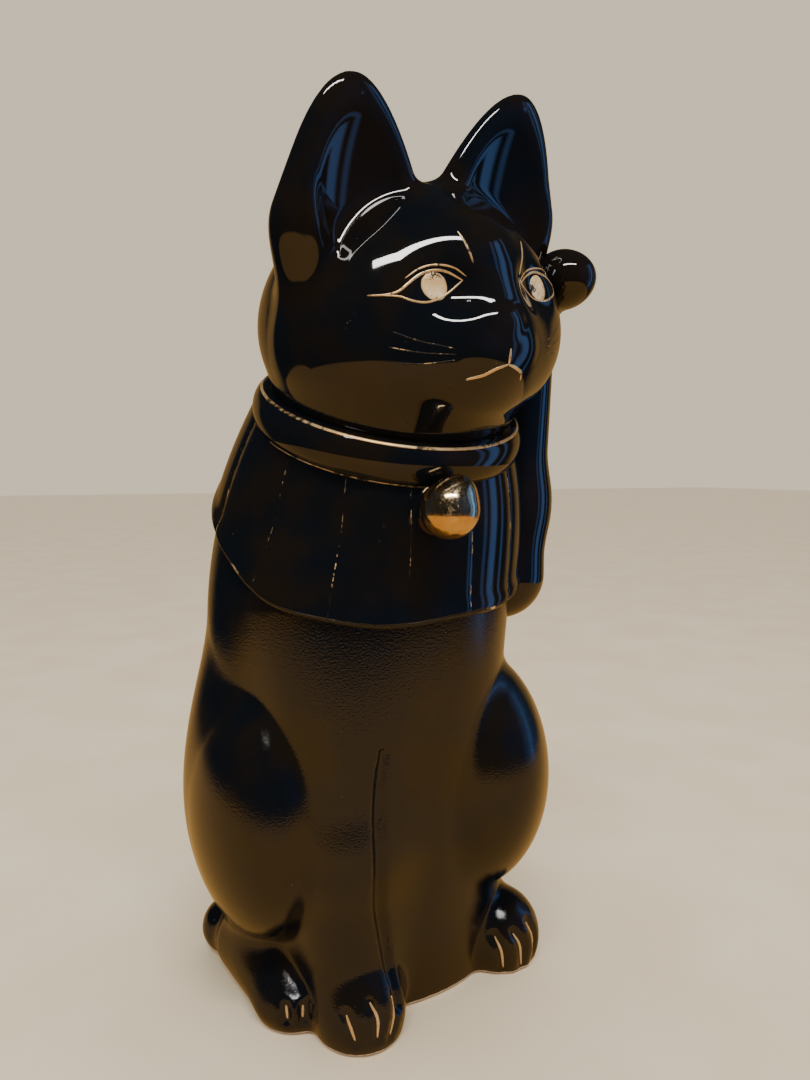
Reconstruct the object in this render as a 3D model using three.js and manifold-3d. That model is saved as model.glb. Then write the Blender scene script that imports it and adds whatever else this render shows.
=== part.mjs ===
// Seated beckoning cat in glazed ceramic, built from separately formed clay elements.
// Millimetres, +Z up. The cat faces -Y and its left side is +X. The figure stands on z = 0 and
// the origin is the bottom centre of its bounding box.
import * as THREE from 'three';
import { mergeVertices } from 'three/addons/utils/BufferGeometryUtils.js';
import Module from 'manifold-3d';

const wasm = await Module();
wasm.setup();

// ---------------------------------------------------------------- driving dimensions
// The modelling axes have the body's long axis near x = 0, y = 24 at the foot.
// A ball is [centre, radii, turn in degrees]; a bar is [start, end, start radius, end radius].
const GAP = 0.35;                  // clearance between neighbouring elements
const WALL = 5.5;                  // cast wall of the body and head
const BODY_TOP = 214;              // lattice height of the body before the neck is trimmed
const NECK_HOLE = { radius: 14, centre: [-1, 6], bottom: 160, top: 216 };  // joins the two hollows
const CAVITY = { bottom: -4, top: 172 };   // the body's hollow, open below and closed under the neck
const SPINE = { x: -1, footY: 24, neckY: 5 };

// torso stations: height, half width, half depth, centre in Y
const TORSO = [
  [0, 48, 35, 26],
  [25, 49, 38, 25],
  [60, 48, 42, 21],
  [100, 43, 44, 17],
  [140, 41, 42, 12],
  [175, 42, 40, 9],
  [214, 37, 34, 11],
];
const FLANKS = {
  right: [[-27, 23, 138], [33, 34, 74], [0, 4, 0]],
  left: [[14, 22, 158], [31, 33, 56]],
  soft: 16,
};
const THIGHS = {
  rightHaunch: [[-36.5, 31, 71], [30, 40.5, 46.5], [0, 4, 0]],
  rightKnee: [[-46, 9, 72], [20, 30, 42]],
  leftHaunch: [[37, 29, 71], [30, 40.5, 46.5], [0, -4, 0]],
  leftKnee: [[28, 4, 76], [26, 33, 44], [10, 0, 0]],
  soft: 14,
  crease: { y: 0, soft: 3.5 },     // a crease in front
  back: { y: 48, soft: 30 },       // that turns into a soft join behind
};
const FORELEG = {
  upper: [[-30, -5, 142], [-23.5, -8, 62], 20.5, 16.5],
  lower: [[-23.5, -8, 62], [-21.5, -6, 14], 16.5, 13.5],
  paw: [[-20.5, -11, 8], [15.5, 16.5, 19]],
  soft: 10,
  chestSoft: 12,
};
// the line between foreleg and chest: x and z of its points, and its radius
const FORELEG_GROOVE = {
  route: [[-17.5, 97], [-19, 84], [-19.4, 68], [-18.5, 50], [-15.5, 36], [-12.8, 24], [-11, 12]],
  radius: 1.8, soft: 1.6, insideY: 20, reach: 80,
};
const HIND_FEET = {
  rightSole: [[-39, 6, 10], [-44, 38, 10], 13, 13],
  rightToes: [[-36.5, 4, 8], [12.5, 13, 15.5]],
  leftSole: [[42.5, 7, 10], [45, 38, 10], 14, 12.5],
  leftToes: [[42.2, 4.5, 8], [15, 14.5, 16.8]],
  soft: 6,
};
// the flats that slope down over the right hind foot: a point, the way out and the edge's softness
const RIGHT_INSTEP = { point: [-44, 2, 18.5], out: [-0.1, -0.55, 0.83], soft: 2.5 };
const RIGHT_OUTER = { point: [-49, 2, 12], out: [-0.8, -0.35, 0.49], soft: 3 };
const TAIL = [[-49, 52, 9], [-14, 62, 14], 10.5, 12];
const LIMBS_SOFT = 4;

const HEAD = { centre: [0.5, -4, 233], yaw: 13.5, nod: 5, roll: -8 };
const NECK = [[-1, -1, 204], [35.5, 37.5, 34]];
const NECK_SOFT = 6;
// balls and bars of the skull in the head's own axes
const SKULL = {
  dome: [[0, -6, 3], [42, 37, 36]],
  occiput: [[0, 7, -3], [46.5, 38, 36]],
  rightCheek: [[-18, -9, -9.5], [27.5, 31, 24.5]],
  leftCheek: [[17, -9, -9.5], [26.8, 31, 24.5]],
  soft: 14,
};
const FACE = {
  muzzle: [[-2.5, -32, -15.5], [17, 15, 11.5]],
  mound: [[-2.5, -31, -12.5], [23, 16.5, 12.5]],
  chin: [[-2.5, -29, -22.5], [15, 13, 9]],
  soft: 6,
  skullSoft: 12,
  bridge: [[-4.2, -31, 13], [-4.2, -37, -5], 10.3, 11],
  bridgeSoft: 13,
  nose: [[-4.2, -46.5, -4], [6.2, 5, 4.5]],
  rightPad: [[-10.6, -44.5, -11], [6.4, 4.8, 5.4]],
  leftPad: [[2.2, -44.5, -11], [6.4, 4.8, 5.4]],
  noseSoft: 3,
  rightSocket: [[-21.1, -51, 7], [12.5, 11, 7.5]],
  leftSocket: [[19.9, -51, 7], [12.5, 11, 7.5]],
  socketSoft: 6,
};
const EAR_SHAPE = {
  flatness: 0.42, meanSpread: 4.3, dishLean: 14,
  waist: 0.5, waistStart: 0.6, waistEnd: 1.05,   // the leaf narrows again towards its foot
};
const RIGHT_EAR = {
  side: -1, tip: [-30.8, -22, 62.5], foot: [-24, -8, 8], spreadIn: 4, spreadOut: 4.6,
  dish: [-28.9, -25.5, 34], dishRadii: [18.8, 8, 30],
};
const LEFT_EAR = {
  side: 1, tip: [31.4, -22, 64.3], foot: [23, -8, 8], spreadIn: 4.9, spreadOut: 4.2,
  dish: [25.5, -25.5, 35], dishRadii: [20, 8, 31],
};
const ARM = {
  elbow: [[42.5, 7, 146], [44, 7, 172], 16.5, 15.2],
  forearm: [[44, 7, 172], [50, 4, 236], 15.2, 11.2],
  wrist: [[51, 4, 247], [53.5, -13, 248], 9.5, 9.2],
  paw: [[54.3, -15, 248], [9.7, 11, 8.8]],
  elbowSoft: 10, pawSoft: 4, soft: 8,
};
const ARM_LATTICE = { bottom: 129.8, top: 256.8, lowX: 42, highX: 52.5, bendZ: 236, bendY: 4, lean: 0.6 };

const COLLAR = { centre: [-2.5, 5, 201], tilt: 23, radius: [40.5, 41], thickness: 4.6, height: 7 };
const BELL = { centre: [-3, -41, 172.5], radius: 8.8 };
const BIB = { thickness: 2, reach: 150, pleats: 26, pleatDepth: 0.5, root: 2 };
const HEM = { front: 138.7, rise: 71, steepness: 1.9, dip: 2.6, dipAngle: -0.35, dipWidth: 0.38 };
const BOW = { centre: [-2, 50.5, 216], knot: [6, 6, 7], loop: [22, -6, -5], radii: [4, 7], soft: 5 };

const BODY_LATTICE = { around: 60, rows: 36, crowd: 1.2, reach: 100 };
const CAVITY_LATTICE = { around: 24, rows: 10 };
const HEAD_LATTICE = { around: 40, rows: 28, reach: 90 };
const HEAD_CAVITY_LATTICE = { around: 16, rows: 10 };

const GLAZE = { color: 0x0b0d12, roughness: 0.08, metalness: 0 };
const COLLAR_GLAZE = { color: 0x14110f, roughness: 0.1, metalness: 0 };
const GILT = { color: 0xb98a3c, roughness: 0.22, metalness: 1 };

// ---------------------------------------------------------------- vector and field helpers
const { degToRad: radians, lerp, clamp, smoothstep, mapLinear } = THREE.MathUtils;

// smooth union and smooth cut of two fields, blended over a width of about k
function smoothMin(a, b, k) {
  const h = Math.max(k - Math.abs(a - b), 0) / k;
  return Math.min(a, b) - h * h * k / 4;
}
const smoothMax = (a, b, k) => -smoothMin(-a, -b, k);

// every form below returns a function of x, y, z that is negative inside, about one per mm
function ellipsoid(centre, radii, turn = [0, 0, 0]) {
  const basis = new THREE.Matrix4().makeRotationFromEuler(
    new THREE.Euler(...turn.map(radians), 'ZYX')).transpose();
  const [a, b, c] = radii;
  const p = new THREE.Vector3();
  return (x, y, z) => {
    p.set(x - centre[0], y - centre[1], z - centre[2]).applyMatrix4(basis);
    const near = Math.hypot(p.x / a, p.y / b, p.z / c);
    const slope = Math.hypot(p.x / (a * a), p.y / (b * b), p.z / (c * c)) || 1e-9;
    return near * (near - 1) / slope;
  };
}

// a limb whose radius runs from startRadius to endRadius along its axis
function limb(start, end, startRadius, endRadius) {
  const axis = end.map((value, i) => value - start[i]);
  const lengthSq = axis.reduce((sum, value) => sum + value * value, 0);
  return (x, y, z) => {
    const px = x - start[0];
    const py = y - start[1];
    const pz = z - start[2];
    const along = clamp((px * axis[0] + py * axis[1] + pz * axis[2]) / lengthSq, 0, 1);
    const away = Math.hypot(px - along * axis[0], py - along * axis[1], pz - along * axis[2]);
    return away - lerp(startRadius, endRadius, along);
  };
}

function blend(k, first, ...others) {
  return (x, y, z) => others.reduce((sum, form) => smoothMin(sum, form(x, y, z), k), first(x, y, z));
}
const carve = (form, tool, k) => (x, y, z) => smoothMax(form(x, y, z), -tool(x, y, z), k);
const grow = (form, amount) => (x, y, z) => form(x, y, z) - amount;

// cuts a form back to a sloping flat
function flatten(form, { point, out, soft }) {
  const level = (x, y, z) => (x - point[0]) * out[0] + (y - point[1]) * out[1] + (z - point[2]) * out[2];
  return (x, y, z) => smoothMax(form(x, y, z), level(x, y, z), soft);
}

// stations joined by smooth cubic curves through height, giving an elliptical column
function column(stations) {
  const at = (z, field) => {
    const last = stations.length - 1;
    const i = clamp(stations.findIndex((s) => s[0] > z) - 1, 0, last - 1);
    const k = z >= stations[last][0] ? last - 1 : i;
    const [before, from, to, after] = [k - 1, k, k + 1, k + 2].map(
      (n) => stations[clamp(n, 0, last)]);
    const span = to[0] - from[0];
    const t = clamp((z - from[0]) / span, 0, 1);
    const slope0 = (to[field] - before[field]) / ((to[0] - before[0]) || span) * span;
    const slope1 = (after[field] - from[field]) / ((after[0] - from[0]) || span) * span;
    const t2 = t * t;
    const t3 = t2 * t;
    return (2 * t3 - 3 * t2 + 1) * from[field] + (t3 - 2 * t2 + t) * slope0
      + (3 * t2 - 2 * t3) * to[field] + (t3 - t2) * slope1;
  };
  return (x, y, z) => {
    const halfWidth = at(z, 1);
    const halfDepth = at(z, 2);
    return (Math.hypot(x / halfWidth, (y - at(z, 3)) / halfDepth) - 1) * Math.min(halfWidth, halfDepth);
  };
}

// ---------------------------------------------------------------- forms of the figure
function trunkForm() {
  return blend(FLANKS.soft, column(TORSO), ellipsoid(...FLANKS.right), ellipsoid(...FLANKS.left));
}

// each thigh is a rounded haunch behind and a knee in front
function withThighs(form) {
  const right = blend(THIGHS.soft, ellipsoid(...THIGHS.rightHaunch), ellipsoid(...THIGHS.rightKnee));
  const left = blend(THIGHS.soft, ellipsoid(...THIGHS.leftHaunch), ellipsoid(...THIGHS.leftKnee));
  const { crease, back } = THIGHS;
  return (x, y, z) => {
    const k = lerp(crease.soft, back.soft, smoothstep(y, crease.y, back.y));
    return smoothMin(form(x, y, z), Math.min(right(x, y, z), left(x, y, z)), k);
  };
}

function forelegForm() {
  return blend(FORELEG.soft, limb(...FORELEG.upper), limb(...FORELEG.lower));
}

function rightHindFoot() {
  const foot = blend(HIND_FEET.soft, limb(...HIND_FEET.rightSole), ellipsoid(...HIND_FEET.rightToes));
  return flatten(flatten(foot, RIGHT_INSTEP), RIGHT_OUTER);
}

function leftHindFoot() {
  return blend(HIND_FEET.soft, limb(...HIND_FEET.leftSole), ellipsoid(...HIND_FEET.leftToes));
}

// a shallow channel along the figure's front skin
function forelegGroove(figure) {
  const { route, radius, insideY, reach } = FORELEG_GROOVE;
  const points = route.map(([x, z]) => {
    const depth = surfaceDistance(figure, [x, insideY, z], [0, -1, 0], reach);
    return [x, insideY - depth, z];
  });
  const bars = points.slice(1).map((point, i) => limb(points[i], point, radius, radius));
  return blend(radius, ...bars);
}

function bodyForm() {
  const trunk = withThighs(blend(FORELEG.chestSoft, trunkForm(), forelegForm()));
  const paw = ellipsoid(...FORELEG.paw);
  const figure = blend(LIMBS_SOFT, trunk, paw, rightHindFoot(), leftHindFoot(), limb(...TAIL));
  return carve(figure, forelegGroove(figure), FORELEG_GROOVE.soft);
}

// the skull, in the head's own axes with its centre at their origin
function skullForm() {
  const cheeks = [ellipsoid(...SKULL.rightCheek), ellipsoid(...SKULL.leftCheek)];
  const ball = blend(SKULL.soft, ellipsoid(...SKULL.dome), ellipsoid(...SKULL.occiput), ...cheeks);
  const mound = ellipsoid(...FACE.mound);
  const muzzle = blend(FACE.soft, ellipsoid(...FACE.muzzle), mound, ellipsoid(...FACE.chin));
  const bridged = blend(FACE.bridgeSoft, blend(FACE.skullSoft, ball, muzzle), limb(...FACE.bridge));
  const pads = [ellipsoid(...FACE.rightPad), ellipsoid(...FACE.leftPad)];
  const face = blend(FACE.noseSoft, bridged, ellipsoid(...FACE.nose), ...pads);
  const oneEye = carve(face, ellipsoid(...FACE.rightSocket), FACE.socketSoft);
  return carve(oneEye, ellipsoid(...FACE.leftSocket), FACE.socketSoft);
}

function armForm() {
  const sleeve = blend(ARM.elbowSoft, limb(...ARM.elbow), limb(...ARM.forearm));
  const paw = blend(ARM.pawSoft, limb(...ARM.wrist), ellipsoid(...ARM.paw));
  return blend(ARM.soft, sleeve, paw);
}

// ---------------------------------------------------------------- surfaces from fields
// outermost point of the field's surface on a ray, at most reach from its start
function surfaceDistance(field, start, direction, reach) {
  const at = (t) => field(...start.map((value, i) => value + t * direction[i]));
  const steps = 90;
  const halvings = 26;
  let outside = reach;
  let inside = 0;
  for (let i = steps - 1; i >= 0; i -= 1) {
    const t = reach * i / steps;
    if (at(t) < 0) {
      inside = t;
      outside = reach * (i + 1) / steps;
      break;
    }
  }
  for (let i = 0; i < halvings; i += 1) {
    const middle = (inside + outside) / 2;
    if (at(middle) < 0) inside = middle;
    else outside = middle;
  }
  return (inside + outside) / 2;
}

// position only, with shared corners merged, so that the mesh is closed
function merged(geometry) {
  geometry.deleteAttribute('normal');
  geometry.deleteAttribute('uv');
  return mergeVertices(geometry, 1e-3);
}

// moves every vertex of a lattice, then closes its seams
function reshape(geometry, move) {
  const position = geometry.getAttribute('position');
  for (let i = 0; i < position.count; i += 1) {
    position.setXYZ(i, ...move(position.getX(i), position.getY(i), position.getZ(i)));
  }
  return merged(geometry);
}

// a ball lattice pushed out onto a field, seen from its centre
function wrapBall(field, centre, { reach, around, rows }) {
  return reshape(new THREE.SphereGeometry(1, around, rows), (x, y, z) => {
    const direction = [x, -z, y];
    const t = surfaceDistance(field, centre, direction, reach);
    return centre.map((value, i) => value + t * direction[i]);
  });
}

// a column lattice pushed out sideways onto a field, around an upright spine
function wrapColumn(field, { bottom, top, spine, reach, around, rows, crowd = 1 }) {
  const lattice = new THREE.CylinderGeometry(1, 1, 1, around, rows);
  return reshape(lattice, (x, y, z) => {
    const height = bottom + (top - bottom) * (y + 0.5) ** crowd;
    const axis = spine(height);
    const flat = Math.hypot(x, z);
    if (flat < 0.5) return [axis[0], axis[1], height];
    const direction = [x / flat, -z / flat, 0];
    const t = surfaceDistance(field, [axis[0], axis[1], height], direction, reach);
    return [axis[0] + t * direction[0], axis[1] + t * direction[1], height];
  });
}

// ---------------------------------------------------------------- solid joins and cuts
function toSolid(geometry) {
  const position = geometry.getAttribute('position');
  return new wasm.Manifold(new wasm.Mesh({
    numProp: 3,
    vertProperties: new Float32Array(position.array),
    triVerts: new Uint32Array(geometry.index.array),
  }));
}

function toGeometry(solid) {
  const mesh = solid.getMesh();
  const geometry = new THREE.BufferGeometry();
  geometry.setAttribute('position', new THREE.BufferAttribute(new Float32Array(mesh.vertProperties), 3));
  geometry.setIndex(new THREE.BufferAttribute(new Uint32Array(mesh.triVerts), 1));
  return geometry;
}

function named(name, geometry, finish) {
  const shaded = geometry.clone();
  shaded.computeVertexNormals();
  const mesh = new THREE.Mesh(shaded, new THREE.MeshStandardMaterial(finish));
  mesh.name = name;
  return mesh;
}

// ---------------------------------------------------------------- placement helpers
const headMatrix = new THREE.Matrix4().compose(
  new THREE.Vector3(...HEAD.centre),
  new THREE.Quaternion().setFromEuler(
    new THREE.Euler(radians(HEAD.nod), radians(HEAD.roll), radians(HEAD.yaw), 'ZXY')),
  new THREE.Vector3(1, 1, 1));
const headInverse = headMatrix.clone().invert();
const collarMatrix = new THREE.Matrix4()
  .makeRotationX(radians(COLLAR.tilt)).setPosition(...COLLAR.centre);

const scratch = new THREE.Vector3();
const inHeadAxes = (form) => (x, y, z) => {
  scratch.set(x, y, z).applyMatrix4(headInverse);
  return form(scratch.x, scratch.y, scratch.z);
};

// a block that fills everything above (side 1) or below (side -1) the collar's middle plane
function collarHalfSpace(side, offset) {
  const size = 400;
  const block = new THREE.BoxGeometry(size, size, size);
  block.translate(0, 0, side * size / 2 + offset);
  block.applyMatrix4(collarMatrix);
  return toSolid(merged(block));
}

const spineOfBody = (z) => [SPINE.x, lerp(SPINE.footY, SPINE.neckY, clamp(z / BODY_TOP, 0, 1))];

// ---------------------------------------------------------------- elements
const body = bodyForm();
const skull = inHeadAxes(skullForm());
const head = blend(NECK_SOFT, skull, ellipsoid(...NECK));
const bodyLattice = { ...BODY_LATTICE, bottom: 0, top: BODY_TOP, spine: spineOfBody };

// the upright hole through the neck that joins the body's hollow to the head's
function neckPassage() {
  const { radius, centre, bottom, top } = NECK_HOLE;
  const hole = new THREE.CylinderGeometry(radius, radius, top - bottom, 20);
  hole.rotateX(Math.PI / 2);
  hole.translate(centre[0], centre[1], (top + bottom) / 2);
  return toSolid(merged(hole));
}

function bodyCasting() {
  const skin = toSolid(wrapColumn(body, bodyLattice));
  const figure = skin.subtract(collarHalfSpace(1, -GAP));
  const thinned = grow(withThighs(trunkForm()), -WALL);
  const inside = toSolid(wrapColumn(thinned, { ...bodyLattice, ...CAVITY, ...CAVITY_LATTICE, crowd: 1 }));
  return figure.subtract(inside).subtract(neckPassage());
}

function headCasting() {
  const skin = toSolid(wrapBall(head, HEAD.centre, HEAD_LATTICE));
  const coarse = { ...HEAD_LATTICE, ...HEAD_CAVITY_LATTICE };
  const inside = toSolid(wrapBall(grow(skull, -WALL), HEAD.centre, coarse));
  return skin.subtract(inside).subtract(neckPassage()).subtract(collarHalfSpace(-1, GAP));
}

// a flattened parabolic leaf from the tip down to its foot inside the skull
function earLeaf({ side, tip, foot, spreadIn, spreadOut }, extra = 0) {
  const height = tip[2] - foot[2];
  const rows = 14;
  const crowding = 1.6;
  const profile = [new THREE.Vector2(0, height)];
  for (let row = 1; row <= rows; row += 1) {
    const drop = height * (row / rows) ** crowding;
    const narrowing = EAR_SHAPE.waist * smoothstep(drop / height, EAR_SHAPE.waistStart, EAR_SHAPE.waistEnd);
    profile.push(new THREE.Vector2(Math.sqrt(drop) * (1 - narrowing), height - drop));
  }
  profile.push(new THREE.Vector2(0, 0));
  const shaped = reshape(new THREE.LatheGeometry(profile, 22), (x, y, z) => {
    const t = 1 - y / height;
    const round = Math.hypot(x, z) || 1;
    const across = x * (x > 0 ? spreadOut : spreadIn) + extra * x / round;
    const through = z * EAR_SHAPE.meanSpread * EAR_SHAPE.flatness + extra * z / round;
    const raise = t === 0 ? extra : 0;
    const [middleX, middleY] = [lerp(tip[0], foot[0], t), lerp(tip[1], foot[1], t)];
    return [middleX + side * across, middleY + side * through, foot[2] + y + raise];
  });
  shaped.applyMatrix4(headMatrix);
  return toSolid(shaped);
}

// the hollow in the front of an ear
function earDish({ dish, dishRadii }) {
  const bowl = new THREE.SphereGeometry(1, 20, 14);
  bowl.scale(...dishRadii);
  bowl.rotateX(radians(EAR_SHAPE.dishLean));
  bowl.translate(...dish);
  bowl.applyMatrix4(headMatrix);
  return toSolid(merged(bowl));
}

const earOf = (ear) => earLeaf(ear).subtract(earDish(ear)).subtract(headClearance);

// the ring's section is a soft oval, flatter against the neck
function collarRing(extra = 0) {
  const meanRadius = 10;
  const shaped = reshape(new THREE.TorusGeometry(meanRadius, 1, 8, 40), (x, y, z) => {
    const angle = Math.atan2(y, x);
    const outward = (Math.hypot(x, y) - meanRadius) * (COLLAR.thickness + extra);
    const reachX = COLLAR.radius[0] + outward;
    const reachY = COLLAR.radius[1] + outward;
    return [reachX * Math.cos(angle), reachY * Math.sin(angle), z * (COLLAR.height + extra)];
  });
  shaped.applyMatrix4(collarMatrix);
  return toSolid(shaped);
}

function collarSolid() {
  return collarRing().subtract(headClearance).subtract(bodyClearance.subtract(collarHalfSpace(1, 0)));
}

// the height of the bib's hem, by the angle round the body from the front
function hemHeight(angle) {
  const dip = HEM.dip * Math.exp(-(((angle - HEM.dipAngle) / HEM.dipWidth) ** 2));
  return HEM.front - dip + HEM.rise * ((1 - Math.cos(angle)) / 2) ** HEM.steepness;
}

// the collar's middle, by the same angle
function neckHeight(angle) {
  return COLLAR.centre[2] - COLLAR.radius[1] * Math.sin(radians(COLLAR.tilt)) * Math.cos(angle);
}

// a pleated cape that follows the body, thickened outwards, with its hem let down by an extra
function bibCape(extra) {
  const root = grow(body, -BIB.root);
  const thickness = BIB.root + BIB.thickness + GAP + extra;
  const sheet = new THREE.BoxGeometry(1, 1, 1, 52, 7, 1);
  return toSolid(reshape(sheet, (x, y, z) => {
    const angle = 2 * x * radians(BIB.reach);
    const height = lerp(hemHeight(angle) - extra, neckHeight(angle), y + 0.5);
    const axis = spineOfBody(height);
    const direction = [Math.sin(angle), -Math.cos(angle), 0];
    const radius = surfaceDistance(root, [axis[0], axis[1], height], direction, BODY_LATTICE.reach);
    const pleat = BIB.pleatDepth * Math.abs(Math.sin(angle * BIB.pleats / 2));
    const out = radius + (z > 0 ? thickness + pleat : 0);
    return [axis[0] + out * direction[0], axis[1] + out * direction[1], height];
  }));
}

function bibSolid() {
  return bibCape(0).subtract(bodyClearance).subtract(collarClearance).subtract(collarHalfSpace(1, -1));
}

function raisedArm() {
  const { bottom, top, lowX, highX, bendZ, bendY, lean } = ARM_LATTICE;
  const spineX = (z) => mapLinear(z, bottom, top, lowX, highX);
  const spineY = (z) => clamp(bendY - (z - bendZ) * lean, -bendY, bendY + 1);
  const lattice = {
    bottom, top, reach: 50, around: 20, rows: 30, spine: (z) => [spineX(z), spineY(z)],
  };
  return toSolid(wrapColumn(armForm(), lattice)).subtract(headClearance).subtract(bodyClearance)
    .subtract(earLeaf(LEFT_EAR, GAP)).subtract(collarClearance).subtract(bibClearance);
}

function bellBall() {
  const ball = new THREE.SphereGeometry(BELL.radius, 18, 12);
  ball.translate(...BELL.centre);
  return toSolid(merged(ball)).subtract(collarClearance).subtract(bibClearance);
}

// the tied ends at the nape: two loops and a knot
function tiedBow() {
  const [x, y, z] = BOW.centre;
  const [along, forward, up] = BOW.loop;
  const loops = [-1, 1].map((side) => limb([x, y, z], [x + side * along, y + forward, z + up], ...BOW.radii));
  const form = blend(BOW.soft, ellipsoid(BOW.centre, BOW.knot), ...loops);
  return toSolid(wrapBall(form, BOW.centre, { reach: 50, around: 16, rows: 10 }))
    .subtract(collarClearance).subtract(headClearance).subtract(bodyClearance).subtract(bibClearance);
}

const headClearance = toSolid(wrapBall(grow(head, GAP), HEAD.centre, HEAD_LATTICE));
const bodyClearance = toSolid(wrapColumn(grow(body, GAP), bodyLattice));
const collarClearance = collarRing(GAP);
const bibClearance = bibCape(GAP);

const figure = new THREE.Group();
const elements = [
  ['body_casting', bodyCasting(), GLAZE],
  ['head_casting', headCasting(), GLAZE],
  ['right_ear', earOf(RIGHT_EAR), GLAZE],
  ['left_ear', earOf(LEFT_EAR), GLAZE],
  ['raised_left_arm', raisedArm(), GLAZE],
  ['collar', collarSolid(), COLLAR_GLAZE],
  ['collar_bow', tiedBow(), COLLAR_GLAZE],
  ['bib', bibSolid(), GLAZE],
  ['bell', bellBall(), GILT],
];
for (const [name, solid, finish] of elements) figure.add(named(name, toGeometry(solid), finish));
const middle = new THREE.Box3().setFromObject(figure).getCenter(new THREE.Vector3());
figure.position.set(-middle.x, -middle.y, 0);

export default figure;
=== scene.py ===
"""A seated beckoning cat in black high-gloss glaze: smooth skins, worn gilt lines and a pale studio.

The forms are worked out in millimetres in the modelling axes, where the body's long axis stands near
x = 0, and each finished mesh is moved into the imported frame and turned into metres.
"""

import bpy
import numpy as np
import openvdb
from mathutils import Matrix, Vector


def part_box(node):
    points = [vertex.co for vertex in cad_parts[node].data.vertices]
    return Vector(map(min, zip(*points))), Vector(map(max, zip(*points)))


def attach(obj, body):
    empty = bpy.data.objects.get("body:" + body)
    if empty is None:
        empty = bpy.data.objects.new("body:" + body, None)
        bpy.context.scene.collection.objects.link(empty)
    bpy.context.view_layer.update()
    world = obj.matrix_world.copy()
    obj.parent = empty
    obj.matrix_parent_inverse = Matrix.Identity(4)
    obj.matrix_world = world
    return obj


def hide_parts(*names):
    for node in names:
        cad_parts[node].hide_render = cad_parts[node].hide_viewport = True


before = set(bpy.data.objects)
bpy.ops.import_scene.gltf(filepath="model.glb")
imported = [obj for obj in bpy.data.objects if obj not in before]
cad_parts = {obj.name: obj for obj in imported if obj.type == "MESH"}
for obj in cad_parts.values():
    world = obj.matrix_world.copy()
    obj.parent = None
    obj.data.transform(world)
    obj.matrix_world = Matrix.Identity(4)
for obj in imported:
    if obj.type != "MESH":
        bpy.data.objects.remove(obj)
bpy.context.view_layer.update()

MM = 0.001

# ------------------------------------------------------------------ driving dimensions, mm and degrees
COLLAR_CENTRE = np.array([-2.5, 5.0, 201.0])
COLLAR_TILT = 23.0
COLLAR_RADII = (40.5, 41.0)
COLLAR_SECTION = (4.6, 7.0)          # half thickness outwards and half height along the neck
WALL = 5.5
CAVITY_TOP = 172.0
BODY_TOP = 214.0
NECK_HOLE = ((-1.0, 6.0), 14.0)
HEAD_CENTRE = np.array([0.5, -4.0, 233.0])
HEAD_TURN = (5.0, -8.0, 13.5)        # nod about x, roll about y, yaw about z
BELL_CENTRE = np.array([-3.0, -41.0, 172.5])
BELL_RADIUS = 8.8
BOW_CENTRE = np.array([-2.0, 50.5, 216.0])
BIB_THICKNESS = 2.0
BIB_FRONT_HEM = 138.7
BIB_RISE = 71.0                      # how much higher the hem is behind
BIB_RISE_POWER = 1.9
BIB_DIP = (2.6, -0.35, 0.38)         # depth, place and width of the hem's dip, the last two in radians
BIB_PLEATS = 13
BIB_PUFF = 0.6                       # how far a panel swells between its pleats
BIB_LIP = (0.6, 2.0, 2.5)            # height, place above the hem and width of its thicker lip
SPINE_X = -1.0
SPINE_Y = (24, 5)                    # the body's middle at the shelf and at its top
FACE_X = -2.5                        # the hand-modelled face sits a little to the head's right
MOUTH_X = -4.2
EYES_X = -0.6
EAR_FLATNESS = 0.42
EAR_MEAN_SPREAD = 4.3
EAR_WAIST = (0.55, 0.58, 1.10)       # the leaf narrows again by this part, between these depths
EAR_CUT = (0.5, 0.87, 4, 24.5)       # a sloping cut ends its outer foot: slopes, height, distance out
EAR_CUT_SOFTNESS = 12
EAR_JOIN = (4, 20, 36, 48)           # softness of the join, and its gain between two places outwards
# each ear: tip, foot, spread towards the crown and outwards, centre and radii of its hollow
EARS = {
    -1: ((-30.8, -22, 62.5), (-23.6, -8, 8), 4.0, 4.6, (-28.9, -25.5, 34), (18.8, 8, 30)),
    1: ((31.4, -22, 64.3), (23.0, -8, 8), 4.9, 4.2, (25.5, -25.5, 35), (20.0, 8, 31)),
}
BARE_CLAY_FROM, BARE_CLAY_TO = 0.4, 0.8    # heights above the shelf where bare clay gives way to glaze
CLAY_SKIN = 0.6                      # faces this near the hollow's surface are bare clay

# mesh sizes, chosen so that each piece stays under 200,000 triangles
BODY_VOXEL = 1.42
HEAD_VOXEL = 0.95
FINE_VOXEL = 0.85
BOW_VOXEL = 0.7
BELL_VOXEL = 0.4

# torso stations: height, half width, half depth, centre in y
TORSO = np.array([
    (0, 48, 35, 26), (25, 49, 38, 25), (60, 48, 42, 21), (100, 43, 44, 17),
    (140, 41, 42, 12), (175, 42, 40, 9), (214, 37, 34, 11)], float)

# the collar sits in both models, so the two sets of axes are tied together there
collar_low, collar_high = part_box("collar")
collar_middle = np.array((collar_low + collar_high) / 2) / MM
TO_FRAME = np.array([
    round(collar_middle[0] - COLLAR_CENTRE[0], 1), round(collar_middle[1] - COLLAR_CENTRE[1], 1), 0.0])


# ------------------------------------------------------------------ fields, negative inside
def rotation(x_deg, y_deg, z_deg, order):
    """Rotation matrix applied in the order of the letters, the first letter first."""
    angle = dict(x=np.radians(x_deg), y=np.radians(y_deg), z=np.radians(z_deg))
    matrix = np.eye(3)
    for letter in order:
        c = np.cos(angle[letter])
        s = np.sin(angle[letter])
        i, j = {"x": (1, 2), "y": (2, 0), "z": (0, 1)}[letter]
        step = np.eye(3)
        step[i, i] = step[j, j] = c
        step[i, j] = -s
        step[j, i] = s
        matrix = step @ matrix
    return matrix


def smooth_min(a, b, k):
    h = np.maximum(k - np.abs(a - b), 0) / k
    return np.minimum(a, b) - h * h * k / 4


def smooth_max(a, b, k):
    return -smooth_min(-a, -b, k)


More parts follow.
